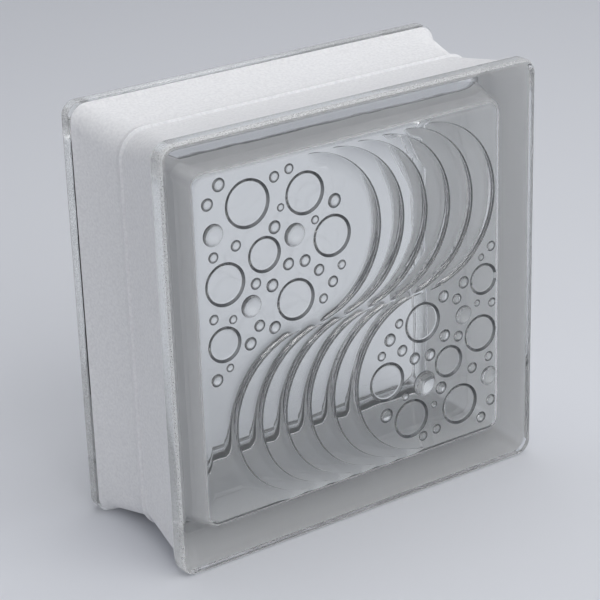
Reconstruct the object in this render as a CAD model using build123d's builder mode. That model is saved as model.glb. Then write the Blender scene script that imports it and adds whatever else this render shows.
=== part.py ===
from build123d import *
import math
import os

os.makedirs("parts", exist_ok=True)

# Hollow glass block, millimetres. It stands on its lower rim: X is the width, Y the depth, Z up.
# The patterned face looks towards -Y, and the two half shells meet on the plane Y = 0.

# Overall size
block_side = 190.0
block_depth = 80.0
half_depth = block_depth / 2
middle_height = block_side / 2

# Rim of clear glass round each face
rim_corner_radius = 7.0
rim_edge_radius = 2.5
rim_width = 7.0

# Channel for mortar round the four edges, its depths measured inward from the rim
shoulder_depth = 2.5
shoulder_run = 5.0
channel_depth = 5.8
channel_corner_radius = 9.0

# Low ridge that the fusing of the two halves leaves along the seam
seam_ridge_height = 0.7
seam_ridge_half_width = 5.0

# White coating in the channel
coating_thickness = 0.3
coating_setback = 8.5

# Cavity between the two faces
face_thickness = 8.0
cavity_side_at_face = 157.0
cavity_side_at_seam = 165.0
cavity_corner_radius = 6.0
cavity_edge_radius = 3.0
cavity_edge_flats = 2

# Waves pressed into the inside of the front face: six steps, each an S of two half circles.
# The glass rises to each step from the left in a hollow curve, drawn here as two straight slopes.
wave_count = 6
wave_pitch = 12.4
first_wave_x = -25.0
wave_radius = 37.8
ramp_width = 8.4
ramp_bend = 3.6
ramp_curve_radius = 20.0
drop_run = 0.5
relief_root = 0.6

# Bubbles pressed beside the waves, as (x, z, radius) from the middle of the face
bubble_height = 2.0
bubble_taper = 40.0
large_bubbles = [
    (-54, 60.5, 10.6), (-26, 58.6, 9.5), (-46.8, 36.8, 7.9), (-12.9, 36.8, 9.4), (-66.2, 28.6, 9.5),
    (-32.1, 13.1, 9.3), (-67.8, 2.5, 7.9), (68.3, -3.7, 7.4), (34.1, -15.4, 9.4),
    (48.5, -38.1, 7.6), (66.6, -29.4, 8.8), (14.3, -38.4, 9.2), (27.4, -60, 9.2), (54.8, -60.9, 9.7),
]

# Distances from the seam, along the depth
rim_back = half_depth - rim_width
shoulder_foot = rim_back - shoulder_run
coating_end = half_depth - coating_setback
inner_face = half_depth - face_thickness


def stacked(stations, corner_radius):
    """A body through rounded squares, each given as (distance from the seam, side)."""
    with BuildPart() as body:
        for distance, side in stations:
            with BuildSketch(Plane.XZ.offset(distance)):
                with Locations((0, middle_height)):
                    RectangleRounded(side, side, corner_radius)
        loft(ruled=True)
    return body.part


def channel_half(end, growth):
    """The body inside the channel of one half, from one end to the seam, grown by a coating."""
    end_depth = shoulder_depth * (rim_back - end) / shoulder_run
    depths = [
        (end, end_depth),
        (shoulder_foot, shoulder_depth),
        (seam_ridge_half_width, channel_depth),
        (0, channel_depth - seam_ridge_height),
    ]
    sides = [(distance, block_side - 2 * (depth - growth)) for distance, depth in depths]
    return stacked(sides, channel_corner_radius)


# Hollow of one half shell, its inner edge rounded in a few flats
hollow_stations = [(0, cavity_side_at_seam)]
for flat in range(cavity_edge_flats + 1):
    turn = math.radians(90 * flat / cavity_edge_flats)
    distance = inner_face - cavity_edge_radius * (1 - math.sin(turn))
    side = cavity_side_at_face - 2 * cavity_edge_radius * (1 - math.cos(turn))
    hollow_stations.append((distance, side))
hollow = stacked(hollow_stations, cavity_corner_radius)

# Plain half shell: clear rim with rounded edges, tapering wall and hollow
with BuildPart() as plain_half:
    with BuildSketch(Plane.XZ.offset(rim_back)):
        with Locations((0, middle_height)):
            RectangleRounded(block_side, block_side, rim_corner_radius)
    extrude(amount=rim_width)
    fillet(plain_half.faces().sort_by(Axis.Y)[0].edges(), rim_edge_radius)
    add(channel_half(rim_back, 0))
    add(hollow, mode=Mode.SUBTRACT)

# Back half shell, smooth inside
with BuildPart() as back_shell:
    add(mirror(plain_half.part, about=Plane.XZ))


def ramp_height(left):
    """Height of a wave's ramp at a distance to the left of the wave's line."""
    return (ramp_width - left) ** 2 / (2 * ramp_curve_radius)


# Front half shell, with the waves and bubbles inside its face
with BuildPart() as front_shell:
    add(plain_half.part)
    for step in range(wave_count):
        for side in (1, -1):
            centre = (first_wave_x + step * wave_pitch, -inner_face, middle_height + side * wave_radius)
            with BuildSketch(Plane(origin=centre, x_dir=(0, 0, 1), z_dir=(-1, 0, 0))):
                with BuildLine():
                    Polyline(
                        (wave_radius - side * ramp_width, 0),
                        (wave_radius - side * ramp_bend, ramp_height(ramp_bend)),
                        (wave_radius, ramp_height(0)),
                        (wave_radius + side * drop_run, -relief_root),
                        (wave_radius - side * ramp_width, -relief_root),
                        close=True,
                    )
                make_face()
            revolve(axis=Axis(centre, (0, side, 0)), revolution_arc=180)
    for x, z, radius in large_bubbles:
        with BuildSketch(Plane.XZ.offset(inner_face)):
            with Locations((x, middle_height + z)):
                Circle(radius)
        extrude(amount=-bubble_height, taper=bubble_taper)

front_shell.part.label = "front_shell"
export_step(front_shell.part, "parts/front_shell.step")

back_shell.part.label = "back_shell"
export_step(back_shell.part, "parts/back_shell.step")

# White coating over the channel, a thin closed skin that wraps both halves
with BuildPart() as edge_coating:
    add(channel_half(coating_end, coating_thickness))
    add(channel_half(coating_end, 0), mode=Mode.SUBTRACT)
    mirror(about=Plane.XZ)

edge_coating.part.label = "edge_coating"
export_step(edge_coating.part, "parts/edge_coating.step")

for piece in (front_shell, back_shell, edge_coating):
    print(piece.part.label, round(piece.part.volume), "mm3")
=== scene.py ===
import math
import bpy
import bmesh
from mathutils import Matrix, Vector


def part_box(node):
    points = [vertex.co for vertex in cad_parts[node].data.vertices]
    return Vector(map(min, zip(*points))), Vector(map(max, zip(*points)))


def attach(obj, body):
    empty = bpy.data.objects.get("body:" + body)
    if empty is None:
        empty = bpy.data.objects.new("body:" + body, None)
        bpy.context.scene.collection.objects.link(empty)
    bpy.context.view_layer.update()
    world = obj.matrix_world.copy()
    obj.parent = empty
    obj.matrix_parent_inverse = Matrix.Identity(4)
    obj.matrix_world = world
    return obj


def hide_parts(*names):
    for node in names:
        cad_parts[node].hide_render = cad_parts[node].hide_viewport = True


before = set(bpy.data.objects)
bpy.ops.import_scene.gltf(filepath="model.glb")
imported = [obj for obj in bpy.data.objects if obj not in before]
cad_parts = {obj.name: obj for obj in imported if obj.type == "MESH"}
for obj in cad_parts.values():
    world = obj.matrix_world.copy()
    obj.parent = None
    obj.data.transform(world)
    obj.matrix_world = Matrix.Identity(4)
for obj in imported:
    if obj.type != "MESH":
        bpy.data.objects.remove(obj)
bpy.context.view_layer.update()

# %% [markdown]
# # Hollow glass block
# A glass block is two pressed half shells of clear glass, fused along the middle of the edges,
# with a white coating sprayed into the channel where the mortar goes. Nearly all of its look is
# refraction, so this scene rebuilds the glass with closely spaced facets and smooth normals, and
# lets the path tracer do the rest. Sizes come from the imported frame, in metres.

mm = 0.001
tolerance = 0.1 * mm

shell_low, shell_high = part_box("front_shell")
block_side = shell_high[0] - shell_low[0]
half_depth = -shell_low[1]
middle = block_side / 2
print("block side", block_side, "half depth", half_depth)


# %% [markdown]
# ## Small helpers
# A colour picked from a chart is an sRGB hex value, while Blender's sockets want linear light,
# so one function converts. Another turns a bmesh into an object, and a third adds a shader node
# with its settings and links in one go, which keeps the materials short enough to read.

# %% Helpers
def linear(hex_colour):
    """Linear RGBA of an sRGB hex colour such as "#E8ECEF"."""
    channels = [int(hex_colour[i:i + 2], 16) / 255 for i in (1, 3, 5)]
    bent = [c / 12.92 if c <= 0.04045 else ((c + 0.055) / 1.055) ** 2.4 for c in channels]
    return (*bent, 1.0)


def make_object(name, bm):
    """A smoothly shaded object in the scene from a bmesh, which is freed."""
    mesh = bpy.data.meshes.new(name)
    for face in bm.faces:
        face.smooth = True
    bm.to_mesh(mesh)
    bm.free()
    made = bpy.data.objects.new(name, mesh)
    bpy.context.scene.collection.objects.link(made)
    return made


def add_node(material, kind, settings=None, links=None):
    """A shader node. An input is called by its name or number, and a link is (node, output)."""
    node = material.node_tree.nodes.new(kind)
    for key, value in (settings or {}).items():
        if isinstance(key, int) or key in node.inputs:
            node.inputs[key].default_value = value
        else:
            setattr(node, key, value)
    for key, (source, output) in (links or {}).items():
        material.node_tree.links.new(source.outputs[output], node.inputs[key])
    return node


# %% [markdown]
# ## Camera
# The photograph looks down at the block from the front left through a long lens. The camera
# stands on a sphere round a target point, and a slight roll levels it with the photograph.

# %% Camera
camera_azimuth = math.radians(-34.23)
camera_elevation = math.radians(22.88)
camera_distance = 0.899
camera_roll = math.radians(-1.86)
camera_target = Vector((-0.0051, 0, 0.0901))
lens_length = 123.2
film_width = 36

back = Vector((
    math.sin(camera_azimuth) * math.cos(camera_elevation),
    -math.cos(camera_azimuth) * math.cos(camera_elevation),
    math.sin(camera_elevation),
))
level_right = Vector((math.cos(camera_azimuth), math.sin(camera_azimuth), 0))
level_up = back.cross(level_right)
right = level_right * math.cos(camera_roll) + level_up * math.sin(camera_roll)
up = level_up * math.cos(camera_roll) - level_right * math.sin(camera_roll)

camera = bpy.data.objects.new("camera", bpy.data.cameras.new("camera"))
camera.data.sensor_width = film_width
camera.data.lens = lens_length
camera.matrix_world = Matrix.Translation(camera_target + back * camera_distance) @ Matrix(
    (right, up, back)
).transposed().to_4x4()
bpy.context.scene.collection.objects.link(camera)
bpy.context.scene.camera = camera
print("camera at", camera.matrix_world.translation, "m")


# %% [markdown]
# ## Floor and backdrop
# Product photographs of glass are taken on a sweep: one sheet of pale card that lies flat under
# the object and curves up behind it, so there is no horizon line. A strip is extruded along
# that path and its corner is bevelled into a wide curve.

# %% Sweep of pale card
sweep_front = -2.0
sweep_back = 2.6
sweep_height = 1.6
sweep_half_width = 2.2
sweep_bend = 1.2
bend_segments = 24

sweep = bmesh.new()
start = [sweep.verts.new((x, sweep_front, 0)) for x in (-sweep_half_width, sweep_half_width)]
front_edge = sweep.edges.new(start)
floor = bmesh.ops.extrude_edge_only(sweep, edges=[front_edge])
floor_verts = [g for g in floor["geom"] if isinstance(g, bmesh.types.BMVert)]
bmesh.ops.translate(sweep, verts=floor_verts, vec=(0, sweep_back - sweep_front, 0))
corner = [g for g in floor["geom"] if isinstance(g, bmesh.types.BMEdge)]
wall = bmesh.ops.extrude_edge_only(sweep, edges=corner)
wall_verts = [g for g in wall["geom"] if isinstance(g, bmesh.types.BMVert)]
bmesh.ops.translate(sweep, verts=wall_verts, vec=(0, 0, sweep_height))
bmesh.ops.bevel(
    sweep, geom=corner, offset=sweep_bend, segments=bend_segments, profile=0.5,
    affect="EDGES", material=-1,
)
bmesh.ops.rotate(
    sweep, verts=sweep.verts, cent=(0, 0, 0), matrix=Matrix.Rotation(camera_azimuth, 3, "Z")
)
bmesh.ops.recalc_face_normals(sweep, faces=sweep.faces)
backdrop = make_object("backdrop", sweep)
print("sweep", len(backdrop.data.polygons), "faces")


# %% [markdown]
# ## Light
# A large soft box stands in front of the block, a small weak one hangs over it, and an even glow
# comes from all round. Glass shows its surroundings, so the glow matters most: it is what the
# bright panes pick up. The lamps shape the white coating and the shadow. Light crosses the glass
# many times before it leaves, so the path tracer is allowed many bounces.

# %% Soft studio light
def soft_box(name, place, size, watts):
    """A square area lamp that faces the middle of the block."""
    lamp = bpy.data.lights.new(name, "AREA")
    lamp.size = size
    lamp.energy = watts
    box = bpy.data.objects.new(name, lamp)
    box.location = place
    facing = Vector((0, 0, middle)) - Vector(place)
    box.rotation_euler = facing.to_track_quat("-Z", "Y").to_euler()
    bpy.context.scene.collection.objects.link(box)
    print(name, watts, "W")


soft_box("overhead_soft_box", place=(0.12, 0.05, 1.1), size=0.8, watts=2.9)
soft_box("front_soft_box", place=(0.3, -1.9, 1.05), size=3.0, watts=40)

# %% Even glow and bounces
glow_strength = 0.46
glass_bounces = 24

world = bpy.data.worlds.new("studio")
world.use_nodes = True
glow = world.node_tree.nodes["Background"]
glow.inputs["Color"].default_value = linear("#F2F4F9")
glow.inputs["Strength"].default_value = glow_strength
bpy.context.scene.world = world
bpy.context.scene.view_settings.view_transform = "Standard"
bpy.context.scene.cycles.max_bounces = glass_bounces
bpy.context.scene.cycles.transmission_bounces = glass_bounces
bpy.context.scene.cycles.glossy_bounces = glass_bounces // 2
print("glow", glow_strength, "bounces", glass_bounces)


# %% [markdown]
# ## Outside of the glass
# The outside is a stack of rounded squares along the depth: rim, shoulder, draft, seam ridge and
# back again. Each square is one face of a grid whose corners are bevelled, and neighbouring
# squares are bridged. A cube with loop cuts would also do, but its corner radius could not
# change from square to square, as it does where the mould opens. The seam ridge is steep towards
# the front and runs out gently towards the back.

# %% Stations along the depth
rim_width = 7 * mm
rim_corner = 7 * mm
rim_edge = 2.5 * mm
shoulder_run = 5 * mm
shoulder_depth = 2.5 * mm
shoulder_corner = 9 * mm
channel_depth = 5.8 * mm
channel_corner = 12 * mm
ridge_lip = 0.9 * mm
ridge_run = 4 * mm
ridge_height = 1.0 * mm
corner_segments = 16
rim_edge_segments = 8

shoulder_top = half_depth - rim_width
shoulder_foot = shoulder_top - shoulder_run


def rounded_square(bm, side, radius, y):
    """Edges of a square with rounded corners, facing -Y at the depth y."""
    made = bmesh.ops.create_grid(bm, x_segments=1, y_segments=1, size=side / 2)
    stand = Matrix.Translation((0, y, middle)) @ Matrix.Rotation(math.radians(90), 4, "X")
    bmesh.ops.transform(bm, matrix=stand, verts=made["verts"])
    bevelled = bmesh.ops.bevel(
        bm, geom=made["verts"], offset=radius, segments=corner_segments, profile=0.5,
        affect="VERTICES", material=-1,
    )
    edges = list({edge for vert in bevelled["verts"] for edge in vert.link_edges})
    faces = list({face for edge in edges for face in edge.link_faces})
    bmesh.ops.delete(bm, geom=faces, context="FACES_ONLY")
    return edges


def stacked(bm, stations):
    """Bridges rounded squares given as (y, side, radius), and returns the first and last loops."""
    loops = [rounded_square(bm, side, radius, y) for y, side, radius in stations]
    for near, far in zip(loops, loops[1:]):
        bmesh.ops.bridge_loops(bm, edges=near + far)
    return loops[0], loops[-1]


def channel_stations(growth=0.0):
    """The channel wall from the front shoulder to the back one, pushed outward by growth."""
    wall = [
        (-shoulder_foot, shoulder_depth, shoulder_corner),
        (-ridge_lip, channel_depth, channel_corner),
        (0, channel_depth - ridge_height, channel_corner),
        (ridge_run, channel_depth, channel_corner),
        (shoulder_foot, shoulder_depth, shoulder_corner),
    ]
    return [(y, block_side - 2 * (depth - growth), radius + growth) for y, depth, radius in wall]


def sharp_ridge(mesh):
    """Keeps the creases of the seam ridge crisp, while the rest shades smoothly."""
    for edge in mesh.edges:
        start_y, end_y = [mesh.vertices[index].co.y for index in edge.vertices]
        runs_along = abs(start_y - end_y) < tolerance
        if runs_along and -2 * ridge_lip < start_y < 1.1 * ridge_run:
            edge.use_edge_sharp = True


print("rim ends", half_depth - shoulder_top, "m behind the face, ridge", ridge_height, "m high")

# %% Outside skin
skin = bmesh.new()
front_loop, back_loop = stacked(skin, [
    (-half_depth, block_side, rim_corner),
    (-shoulder_top, block_side, rim_corner),
    *channel_stations(),
    (shoulder_top, block_side, rim_corner),
    (half_depth, block_side, rim_corner),
])
for loop in (front_loop, back_loop):
    bmesh.ops.contextual_create(skin, geom=loop)
bmesh.ops.bevel(
    skin, geom=front_loop + back_loop, offset=rim_edge, segments=rim_edge_segments, profile=0.5,
    affect="EDGES", material=-1,
)
bmesh.ops.recalc_face_normals(skin, faces=skin.faces)
print("outside skin", len(skin.faces), "faces, volume", skin.calc_volume() * 1e9, "mm3")


# %% [markdown]
# ## Cavity
# The hollow is made as a solid of air, because it is easier to press a relief into a solid than
# into the inside of a shell. Its corners are rounded as pressed glass is, the front edge more
# than the back one, because that is how their lines look through the glass. Later its faces are
# turned round, and it becomes the inner skin of the glass.

# %% Solid of air
face_thickness = 8 * mm
cavity_side_at_face = 157 * mm
cavity_side_at_seam = 165 * mm
cavity_corner = 6 * mm
front_fillet = 3 * mm
back_fillet = 1.2 * mm
fillet_segments = 10
inner_face = half_depth - face_thickness

air = bmesh.new()
front_loop, back_loop = stacked(air, [
    (-inner_face, cavity_side_at_face, cavity_corner),
    (0, cavity_side_at_seam, cavity_corner),
    (inner_face, cavity_side_at_face, cavity_corner),
])
for loop, fillet in ((front_loop, front_fillet), (back_loop, back_fillet)):
    bmesh.ops.contextual_create(air, geom=loop)
    bmesh.ops.bevel(
        air, geom=loop, offset=fillet, segments=fillet_segments, profile=0.5,
        affect="EDGES", material=-1,
    )
bmesh.ops.recalc_face_normals(air, faces=air.faces)
air_solid = make_object("air_solid", air)
print("air", len(air_solid.data.polygons), "faces")


# %% [markdown]
# ## Waves
# The waves are six steps inside the front face. Each is an S of two half circles, and the glass
# rises to it from the left in a ramp that steepens, then drops straight down. A strip with that
# section is spun half a turn for each half circle. The strip starts a hair below the face, so
# that no two faces coincide when it is pressed. The ends fade out, as a rounded cutter leaves
# them.

# %% Half circles of the waves
wave_count = 6
wave_pitch = 12.4 * mm
first_wave_x = -25 * mm
wave_radius = 37.8 * mm
ramp_width = 8.4 * mm
ramp_curve = 22 * mm
drop_run = 0.5 * mm
drop_slope = math.tan(math.radians(76))
crest_blend = 0.2 * mm
relief_root = 1.0 * mm
ramp_dip = 0.04 * mm
outer_fade = math.radians(18)
centre_fade = math.radians(17)
ramp_segments = 28
half_turn_steps = 96


def section_height(left):
    """Height of a wave's section at a distance to the left of its line, with a rounded crest."""
    ramp = (ramp_width - left) ** 2 / (2 * ramp_curve)
    drop = (left + drop_run) * drop_slope
    blend = max(crest_blend - abs(ramp - drop), 0) / crest_blend
    return min(ramp, drop) - blend * blend * crest_blend / 4


def wave(step, side):
    """One half circle: side 1 is the upper one, open to the left, and -1 the lower one."""
    bm = bmesh.new()
    strip = bmesh.ops.create_grid(bm, x_segments=ramp_segments, y_segments=1, size=0.5)
    for vert in strip["verts"]:
        across = vert.co.x + 0.5
        left = (ramp_width + drop_run) * across ** 2 - drop_run
        height = section_height(left) - ramp_dip if vert.co.y > 0 else -relief_root
        vert.co = (0, height, wave_radius - side * left)
    bmesh.ops.spin(
        bm, geom=bm.faces[:] + bm.edges[:] + bm.verts[:], cent=(0, 0, 0), axis=(0, 1, 0),
        angle=side * math.pi, steps=half_turn_steps,
    )
    for vert in bm.verts:
        turned = abs(math.atan2(vert.co.x, vert.co.z))
        from_centre = math.pi - turned if side > 0 else turned
        share = min((math.pi - from_centre) / outer_fade, from_centre / centre_fade, 1)
        if vert.co.y > -relief_root / 2:
            vert.co.y = (vert.co.y + ramp_dip) * share * share * (3 - 2 * share) - ramp_dip
    centre = (first_wave_x + step * wave_pitch, -inner_face, middle + side * wave_radius)
    bmesh.ops.translate(bm, verts=bm.verts, vec=centre)
    bmesh.ops.recalc_face_normals(bm, faces=bm.faces)
    return make_object(f"wave_{step}_{side}", bm)


waves = [wave(step, side) for step in range(wave_count) for side in (1, -1)]
print(len(waves), "half circles, ramps", section_height(0), "m high")


# %% [markdown]
# ## Bubbles
# The bubbles are large flat discs with round shoulders, and smaller low domes. They are listed
# as (x, z, radius) from the middle of the face, in millimetres, as a pattern maker would set
# them out, and the whole field is then shifted a little. A disc is a circle extruded straight up
# for its foot, then inset and raised for its slanting flank, and a dome is a cap of a sphere sunk
# in the face. The flanks matter most: seen through the glass they reflect, and draw the dark
# rings and crescents, which the glass material darkens further with painted shade.

# %% Places of the bubbles
large_discs = [
    (-54, 60.5, 10.6), (-26, 58.6, 9.5), (-46.8, 36.8, 7.9), (-12.9, 36.8, 9.4), (-66.2, 28.6, 9.5),
    (-32.1, 13.1, 9.3), (-67.8, 2.5, 7.9), (68.3, -3.7, 7.4), (34.1, -15.4, 9.4),
    (48.5, -38.1, 7.6), (66.6, -29.4, 8.8), (14.3, -38.4, 9.2), (27.4, -60, 9.2),
    (54.8, -60.9, 9.7),
]
medium_domes = [
    (-71, 51.1, 4.9), (-31.8, 41.8, 5.2), (-54.3, 16, 5), (56.8, -17.8, 4.5), (34.7, -44.8, 6),
    (71.4, -51.6, 4.6),
]
small_drops = [
    (-67.4, 71.6, 3), (-73.1, 64.5, 2.8), (-40.9, 69, 2.5), (-33.6, 70.8, 2.3), (-38.3, 55.3, 1.8),
    (-11.5, 52, 3.3), (-41.6, 47.5, 3), (-21.5, 45.9, 2), (-60.5, 44.1, 2.5), (-71.4, 41.6, 2.4),
    (-35.4, 29.9, 2.8), (-27.1, 29.3, 2.8), (-20.2, 23.4, 2.7), (-8.6, 22.8, 2.2),
    (-13.3, 16.4, 2.6), (-51.7, 25.3, 2.6), (-43.7, 22.5, 3), (-18.4, 10, 2.3), (-72.6, 14.9, 2.3),
    (-63.4, 12.6, 2), (-50.7, 6.4, 2.7), (-43.2, 3.5, 3), (-55.5, -0.4, 3), (-65.9, -8.3, 1.9),
    (-72.4, -12.2, 2.9), (72.3, 11.1, 2.4), (66.8, 7.1, 1.7), (56.9, -2.3, 2.9), (45.6, -6, 2.9),
    (53, -9.2, 2.6), (64.5, -14.2, 1.7), (73.1, -16, 2.2), (21.1, -12.4, 2.3), (16, -18.7, 3.1),
    (22.6, -25.6, 2.8), (11.4, -25.2, 2.3), (29.4, -31.3, 2.9), (37.9, -31.9, 3), (46.2, -24.9, 3),
    (53.8, -27.3, 2.6), (61.8, -45, 2.7), (71.3, -42, 2.4), (44, -49.7, 3.1), (24.1, -48.1, 2),
    (13.5, -54.3, 3.4), (40, -56.7, 1.7), (33.7, -70.4, 2.4), (41.4, -69.3, 2.4),
    (72.6, -64.1, 2.7), (67, -71.2, 2.7),
]
pattern_shift = (1.0, 0.8)
print(len(large_discs), "discs,", len(medium_domes), "domes,", len(small_drops), "drops")

# %% Shapes of the bubbles
foot_height = 0.5 * mm
flank_height = 1.1 * mm
flank_run = 1.4 * mm
disc_shoulder = 0.4 * mm
small_dome_share = 0.42
medium_dome_share = 0.3
disc_segments = 64
shoulder_segments = 5
dome_segments = 36
dome_rings = 48


def laid_on_face(x, z, depth):
    """Turns a shape that stands on the XY plane to grow from the face into the cavity."""
    across, high = x + pattern_shift[0], z + pattern_shift[1]
    place = Matrix.Translation((across * mm, -inner_face - depth, middle + high * mm))
    return place @ Matrix.Rotation(math.radians(-90), 4, "X")


def disc(x, z, radius):
    """A flat disc with a short straight foot, a slanting flank and a rounded shoulder."""
    bm = bmesh.new()
    bmesh.ops.create_circle(bm, cap_ends=True, segments=disc_segments, radius=radius * mm)
    raised = bmesh.ops.extrude_face_region(bm, geom=bm.faces[:])["geom"]
    verts = [g for g in raised if isinstance(g, bmesh.types.BMVert)]
    bmesh.ops.translate(bm, verts=verts, vec=(0, 0, relief_root + foot_height))
    bmesh.ops.recalc_face_normals(bm, faces=bm.faces)
    top = [g for g in raised if isinstance(g, bmesh.types.BMFace)]
    bmesh.ops.inset_region(bm, faces=top, thickness=flank_run, depth=flank_height)
    bmesh.ops.bevel(
        bm, geom=top[0].edges[:], offset=disc_shoulder, segments=shoulder_segments, profile=0.5,
        affect="EDGES", material=-1,
    )
    bmesh.ops.transform(bm, matrix=laid_on_face(x, z, relief_root), verts=bm.verts)
    return bm


def dome(x, z, radius, share):
    """A low dome: the cap of a sphere that is sunk in the face."""
    bm = bmesh.new()
    height = radius * mm * share
    ball = ((radius * mm) ** 2 + height ** 2) / (2 * height)
    bmesh.ops.create_uvsphere(bm, u_segments=dome_segments, v_segments=dome_rings, radius=ball)
    bmesh.ops.transform(bm, matrix=laid_on_face(x, z, ball - height), verts=bm.verts)
    return bm


bubble_shapes = [disc(*place) for place in large_discs]
bubble_shapes += [dome(*place, medium_dome_share) for place in medium_domes]
bubble_shapes += [dome(*place, small_dome_share) for place in small_drops]
bubbles = bmesh.new()
for shape in bubble_shapes:
    bmesh.ops.recalc_face_normals(shape, faces=shape.faces)
    step_mesh = bpy.data.meshes.new("bubble")
    shape.to_mesh(step_mesh)
    shape.free()
    bubbles.from_mesh(step_mesh)
    bpy.data.meshes.remove(step_mesh)
bubble_stamp = make_object("bubble_stamp", bubbles)
print("bubbles", len(bubble_stamp.data.polygons), "faces")


# %% [markdown]
# ## Pressing the relief
# Each stamp is subtracted from the air with a boolean, just as a plunger leaves its own shape in
# the glass. The stamps only help to make the shape, so they are deleted afterwards.

# %% Pressing
def press(solid, stamp):
    """Subtracts the stamp from the solid and deletes the stamp."""
    cut = solid.modifiers.new("press", "BOOLEAN")
    cut.operation = "DIFFERENCE"
    cut.solver = "MANIFOLD"
    cut.object = stamp
    graph = bpy.context.evaluated_depsgraph_get()
    pressed = bpy.data.meshes.new_from_object(solid.evaluated_get(graph))
    solid.modifiers.clear()
    old = solid.data
    solid.data = pressed
    bpy.data.meshes.remove(old)
    bpy.data.objects.remove(stamp)


for stamp in [*waves, bubble_stamp]:
    press(air_solid, stamp)
print("air after pressing", len(air_solid.data.polygons), "faces")


# %% [markdown]
# ## One body of glass
# The two half shells are fused when the glass is red hot, so light crosses the seam as if it
# were not there. One closed body stands for both, the outside skin with the cavity inside it.
# Weighted normals keep the flat faces flat beside the small rounded edges.

# %% Glass body
inner_skin = bmesh.new()
inner_skin.from_mesh(air_solid.data)
bmesh.ops.reverse_faces(inner_skin, faces=inner_skin.faces)
inner_mesh = bpy.data.meshes.new("inner_skin")
inner_skin.to_mesh(inner_mesh)
inner_skin.free()
skin.from_mesh(inner_mesh)
bpy.data.meshes.remove(inner_mesh)
bpy.data.objects.remove(air_solid)
open_edges = sum(1 for edge in skin.edges if len(edge.link_faces) != 2)
print("glass volume", skin.calc_volume() * 1e9, "mm3, open edges", open_edges)
glass_body = make_object("pressed_glass_shells", skin)
glass_body.data.set_sharp_from_angle(angle=math.radians(32))
harden = glass_body.modifiers.new("flat faces stay flat", "WEIGHTED_NORMAL")
harden.keep_sharp = True
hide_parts("front_shell", "back_shell")
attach(glass_body, "root")


# %% [markdown]
# ## Where the glass is less clear
# Two marks follow the shape, so each face stores how strong they are on it, and the material
# reads that. The rims are frosted and scuffed, most of all underneath, where the block stands.
# The steep flanks of the relief get painted shade: a dark grey that stands in for the dark
# reflections they show, because clear glass alone draws their outlines too pale under these
# lamps. The painted shade grows with the slope of the flank, and starts at a lower slope where
# the flank faces up and to the left, so the light's direction is painted in as well.

# %% Rim scuffs and painted flank shade
rim_facing_limit = 0.8
underside_limit = -0.9
underside_scuffs = 2.6
relief_reach = 76 * mm
relief_top = 3 * mm
# Painted shade on the flanks: the slope where it starts, how far that start moves with facing, the
# degrees to full shade, and the side where it starts earlier.
shade_start_degrees = 23
shade_swing_degrees = 6
shade_ramp_degrees = 12
darker_side = (-0.8, 0.6)
hardly_tilted = 0.001

rim_mask = glass_body.data.attributes.new("rim", "FLOAT", "FACE")
flank_mask = glass_body.data.attributes.new("flank", "FLOAT", "FACE")
for face in glass_body.data.polygons:
    center, normal = face.center, face.normal
    reach = max(abs(center.x), abs(center.z - middle))
    facing = abs(normal.y)
    beside_face = abs(center.y) > shoulder_top and facing < rim_facing_limit
    scuffs = underside_scuffs if normal.z < underside_limit else 1.0
    rim_mask.data[face.index].value = scuffs * (beside_face and reach > middle - rim_corner)

    on_relief = -inner_face - tolerance < center.y < -inner_face + relief_top
    # Painted shade: darker with the slope of the flank, and from a lower slope on flanks that face
    # up and to the left.
    slope = math.degrees(math.acos(min(facing, 1)))
    sideways = max(math.hypot(normal.x, normal.z), hardly_tilted)
    up_left = (normal.x * darker_side[0] + normal.z * darker_side[1]) / sideways
    start = shade_start_degrees - shade_swing_degrees * up_left
    painted_shade = min(max((slope - start) / shade_ramp_degrees, 0), 1)
    flank_mask.data[face.index].value = painted_shade * (on_relief and reach < relief_reach)
shaded_faces = sum(1 for mark in flank_mask.data if mark.value > 0)
print("faces with scuffs", sum(1 for mark in rim_mask.data if mark.value > 0), "painted_shade", shaded_faces)


# %% [markdown]
# ## White coating
# The coating is a skin of white acrylic sprayed into the channel. It grips the glass with no air
# between, so its inner side is set a hair inside the glass: light in the wall then meets white
# paint, not a mirror. It follows the same squares as the glass, pushed outward, and the radius of
# each corner grows by as much, because a tighter corner would leave a wedge of air.

# %% Coating
coating_thickness = 0.3 * mm
coating_setback = 8.5 * mm
coating_end = half_depth - coating_setback
end_depth = shoulder_depth * (shoulder_top - coating_end) / shoulder_run
end_corner = 7.6 * mm
grip = 0.03 * mm

coating_side = block_side - 2 * (end_depth - coating_thickness)
coating_corner = end_corner + coating_thickness

sleeve = bmesh.new()
stacked(sleeve, [
    (-coating_end, coating_side, coating_corner),
    *channel_stations(coating_thickness),
    (coating_end, coating_side, coating_corner),
])
bmesh.ops.recalc_face_normals(sleeve, faces=sleeve.faces)
bmesh.ops.solidify(sleeve, geom=sleeve.faces[:], thickness=coating_thickness + grip)
bmesh.ops.recalc_face_normals(sleeve, faces=sleeve.faces)
print("coating", len(sleeve.faces), "faces, volume", sleeve.calc_volume() * 1e9, "mm3")
coating = make_object("sprayed_coating", sleeve)
coating.data.set_sharp_from_angle(angle=math.radians(40))
sharp_ridge(coating.data)
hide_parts("edge_coating")
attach(coating, "root")


# %% [markdown]
# ## Clear glass
# Soda-lime glass, pressed hot and fire polished by a flame. To the eye it is smooth and nearly
# colourless, with an IOR of 1.52, the faint waviness that the plunger leaves, and a touch of grey
# where light crosses much of it. The tint is a volume that absorbs, because real glass is tinted
# through and through, and a tinted surface would not darken with thickness.

# %% Clear glass
glass = bpy.data.materials.new("soda-lime glass, pressed and fire polished")
glass.use_nodes = True
glass_body.data.materials.append(glass)
glass_link = glass.node_tree.links.new
glass_shader = glass.node_tree.nodes["Principled BSDF"]
glass_shader.inputs["IOR"].default_value = 1.52
on_glass = add_node(glass, "ShaderNodeTexCoord")

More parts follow.
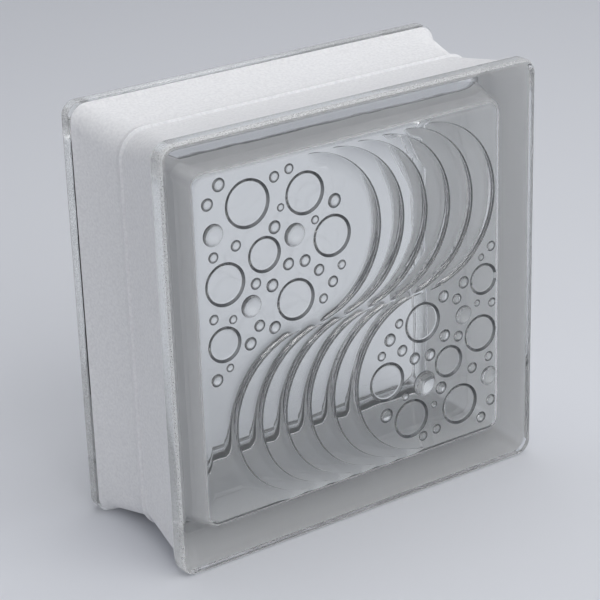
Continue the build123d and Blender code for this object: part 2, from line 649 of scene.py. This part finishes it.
ripple_size = 14 * mm
ripple = add_node(
    glass, "ShaderNodeTexNoise", {"Scale": 1 / ripple_size, "Detail": 1},
    {"Vector": (on_glass, "Object")},
)
waviness = add_node(
    glass, "ShaderNodeBump", {"Strength": 0.35, "Distance": 0.25 * mm}, {"Height": (ripple, "Fac")}
)
glass_link(waviness.outputs["Normal"], glass_shader.inputs["Normal"])
tint = add_node(glass, "ShaderNodeVolumeAbsorption", {"Color": linear("#BCC0C1"), "Density": 2})
surface_and_volume = glass.node_tree.nodes["Material Output"]
glass_link(tint.outputs["Volume"], surface_and_volume.inputs["Volume"])
print("ripple", ripple_size, "m")

# %% [markdown]
# ## Scuffs and painted shade
# Frosted glass lets less light straight through and blurs it, so the rim mark takes away
# transmission and adds roughness, in patches. Real frosting is a tenth of a millimetre fine,
# which is too fine to show, so its patches are drawn 0.8 mm wide. The flank mark takes away
# transmission too, and paints what is left dark grey, as painted shade on the steep flanks.

# %% Scuffs and painted shade
scuff_size = 0.8 * mm
least_scuff = 0.24
most_scuff = 0.3
# How much transmission the painted shade takes from the flanks.
painted_shade_strength = 0.75
scuff_roughness = 0.7

rim = add_node(glass, "ShaderNodeAttribute", {"attribute_name": "rim"})
mottle = add_node(
    glass, "ShaderNodeTexNoise", {"Scale": 1 / scuff_size, "Detail": 3},
    {"Vector": (on_glass, "Object")},
)
patches = add_node(
    glass, "ShaderNodeMapRange",
    {"From Min": 0.35, "From Max": 0.65, "To Min": least_scuff, "To Max": most_scuff},
    {"Value": (mottle, "Fac")},
)
haze = add_node(
    glass, "ShaderNodeMath", {"operation": "MULTIPLY"}, {0: (rim, "Fac"), 1: (patches, "Result")}
)
matte = add_node(
    glass, "ShaderNodeMath", {"operation": "MULTIPLY", 1: scuff_roughness}, {0: (haze, "Value")}
)
glass_link(matte.outputs["Value"], glass_shader.inputs["Roughness"])

flank = add_node(glass, "ShaderNodeAttribute", {"attribute_name": "flank"})
# Painted shade on the flanks and frosting on the rims both take away transmission.
shade_and_frost = add_node(
    glass, "ShaderNodeMath", {"operation": "MULTIPLY_ADD", 1: painted_shade_strength},
    {0: (flank, "Fac"), 2: (haze, "Value")},
)
clear = add_node(glass, "ShaderNodeMath", {"operation": "SUBTRACT", 0: 1}, {1: (shade_and_frost, "Value")})
glass_link(clear.outputs["Value"], glass_shader.inputs["Transmission Weight"])
# Painted shade: the flank mark turns the base colour from near white to dark grey.
shade = add_node(glass, "ShaderNodeValToRGB", links={"Fac": (flank, "Fac")})
shade.color_ramp.elements[0].color = linear("#FBFCFC")
shade.color_ramp.elements[1].color = linear("#3A3E42")
glass_link(shade.outputs["Color"], glass_shader.inputs["Base Color"])
print("glass nodes", len(glass.node_tree.nodes))


# %% [markdown]
# ## White acrylic
# Acrylic paint, sprayed on thin and left matte. To the eye it is an even white with a fine
# pebbling, and a little light wanders inside it and softens the shading. A spray's pebbles are
# some 0.3 mm wide, too fine to show, so they are drawn 1.2 mm wide. On the side that is seen
# through the glass the paint lies flat against it, with no gloss of its own. Along the bottom
# that side is fully opaque, which keeps the lower border of the block bright.

# %% Sprayed white acrylic
wander_share = 3.3
pebble_size = 1.2 * mm


def acrylic(name, colour, roughness):
    """A white acrylic material, and its shader. Light wanders in it further than it is thick."""
    paint = bpy.data.materials.new(name)
    paint.use_nodes = True
    shader = paint.node_tree.nodes["Principled BSDF"]
    shader.inputs["Base Color"].default_value = linear(colour)
    shader.inputs["Roughness"].default_value = roughness
    shader.inputs["Subsurface Weight"].default_value = 1.0
    shader.inputs["Subsurface Radius"].default_value = (1, 1, 1)
    shader.inputs["Subsurface Scale"].default_value = wander_share * coating_thickness
    coating.data.materials.append(paint)
    return paint, shader


outer_paint, outer_shader = acrylic("white acrylic, sprayed", "#E4E4E6", 0.75)
outer_link = outer_paint.node_tree.links.new
on_paint = add_node(outer_paint, "ShaderNodeTexCoord")
pebbles = add_node(
    outer_paint, "ShaderNodeTexNoise", {"Scale": 1 / pebble_size, "Detail": 3},
    {"Vector": (on_paint, "Object")},
)
pebbling = add_node(
    outer_paint, "ShaderNodeBump", {"Strength": 0.6, "Distance": 0.12 * mm},
    {"Height": (pebbles, "Fac")},
)
outer_link(pebbling.outputs["Normal"], outer_shader.inputs["Normal"])
spatter = add_node(outer_paint, "ShaderNodeValToRGB", links={"Fac": (pebbles, "Fac")})
spatter.color_ramp.elements[0].position = 0.3
spatter.color_ramp.elements[0].color = linear("#DDDDE0")
spatter.color_ramp.elements[1].position = 0.7
spatter.color_ramp.elements[1].color = linear("#EBEBED")
outer_link(spatter.outputs["Color"], outer_shader.inputs["Base Color"])
print("pebbles", pebble_size, "m")

# %% White acrylic seen through the glass
inner_paint, inner_shader = acrylic("white acrylic, seen through the glass", "#FAFAFB", 1.0)
inner_shader.inputs["Specular IOR Level"].default_value = 0
thin = add_node(inner_paint, "ShaderNodeAttribute", {"attribute_name": "thin"})
inner_paint.node_tree.links.new(thin.outputs["Fac"], inner_shader.inputs["Subsurface Weight"])

inner_slot = 1
inward_limit = -0.2
thin_mask = coating.data.attributes.new("thin", "FLOAT", "FACE")
for face in coating.data.polygons:
    outward = Vector((face.center.x, 0, face.center.z - middle))
    if face.normal.dot(outward) < inward_limit * outward.length:
        face.material_index = inner_slot
    along_bottom = face.center.z < middle - abs(face.center.x)
    thin_mask.data[face.index].value = 0.0 if along_bottom else 1.0
inner_faces = sum(1 for face in coating.data.polygons if face.material_index == inner_slot)
print("coating faces against the glass", inner_faces)


# %% [markdown]
# ## Pale card
# Uncoated card, matte from its fibres. To the eye it is one pale, slightly cool tone that takes a
# soft shadow and shows no highlight.

# %% Pale card
card = bpy.data.materials.new("pale card, matte")
card.use_nodes = True
card_shader = card.node_tree.nodes["Principled BSDF"]
card_shader.inputs["Base Color"].default_value = linear("#DCDEE3")
card_shader.inputs["Roughness"].default_value = 0.9
backdrop.data.materials.append(card)
print("card on", backdrop.name)
